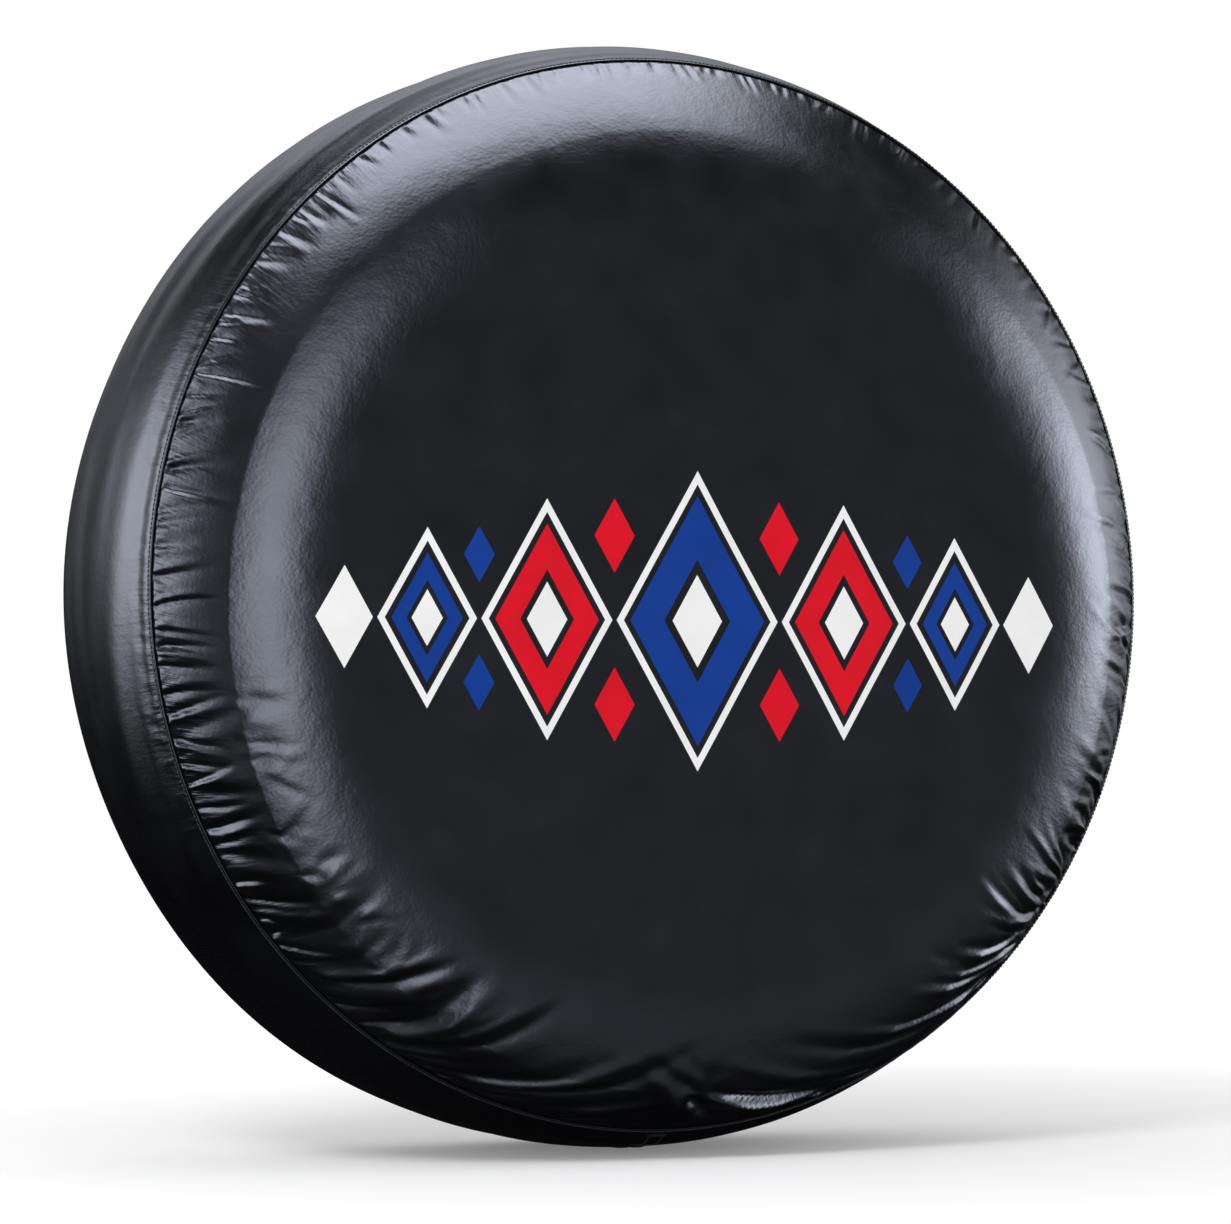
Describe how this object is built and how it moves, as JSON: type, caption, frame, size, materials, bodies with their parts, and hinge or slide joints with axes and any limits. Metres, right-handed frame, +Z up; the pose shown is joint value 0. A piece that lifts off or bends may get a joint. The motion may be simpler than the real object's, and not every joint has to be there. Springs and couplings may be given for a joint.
{
  "type": "spare tire cover",
  "caption": "Soft vinyl cover that slips over a spare tire, with a gathered face, a side band and an elastic rear hem.",
  "frame": {"origin": "on the tire's axis, at the middle of the tire's width, halfway between the face and the hem", "axes": "+Y along the tire's axis and out of the rear opening, the face looking to -Y, +Z up"},
  "size_m": [0.7392, 0.2532, 0.74],
  "materials": {
    "vinyl": "glossy expanded black vinyl with a fine grain",
    "fleece": "brushed polyester backing",
    "thread": "bonded polyester sewing thread",
    "elastic": "braided elastic cord",
    "crimp_metal": "zinc-plated crimp",
    "label_cloth": "woven satin ribbon, blank",
    "blue_ink": "screen-printed vinyl ink",
    "red_ink": "screen-printed vinyl ink",
    "white_ink": "screen-printed vinyl ink"
  },
  "bodies": {
    "cover": {"face_panel": "vinyl", "face_backing": "fleece", "side_band": "vinyl", "band_backing": "fleece", "seam_topstitch": "thread", "seam_overlock": "thread", "closing_lap": "vinyl", "closing_stitch": "thread", "closing_bartacks": "thread", "rear_return": "vinyl", "return_backing": "fleece", "print_blue": "blue_ink", "print_red": "red_ink", "print_white": "white_ink"},
    "hem": {"hem_casing": "vinyl", "hem_stitch": "thread", "elastic_cord": "elastic", "cord_ferrule": "crimp_metal"},
    "label": {"care_label": "label_cloth", "label_stitch": "thread"}
  },
  "joints": [
    {"name": "hem_pull", "type": "slide", "parent": "cover", "child": "hem", "axis": [0, 1, 0], "range_m": [0, 0.035], "stiffness_N_per_m": 200, "deforming": ["rear_return", "return_backing"]},
    {"name": "label_flip", "type": "hinge", "parent": "hem", "child": "label", "pos_m": [0, 0.12977, -0.243], "axis": [1, 0, 0], "range_deg": [0, 150]}
  ]
}
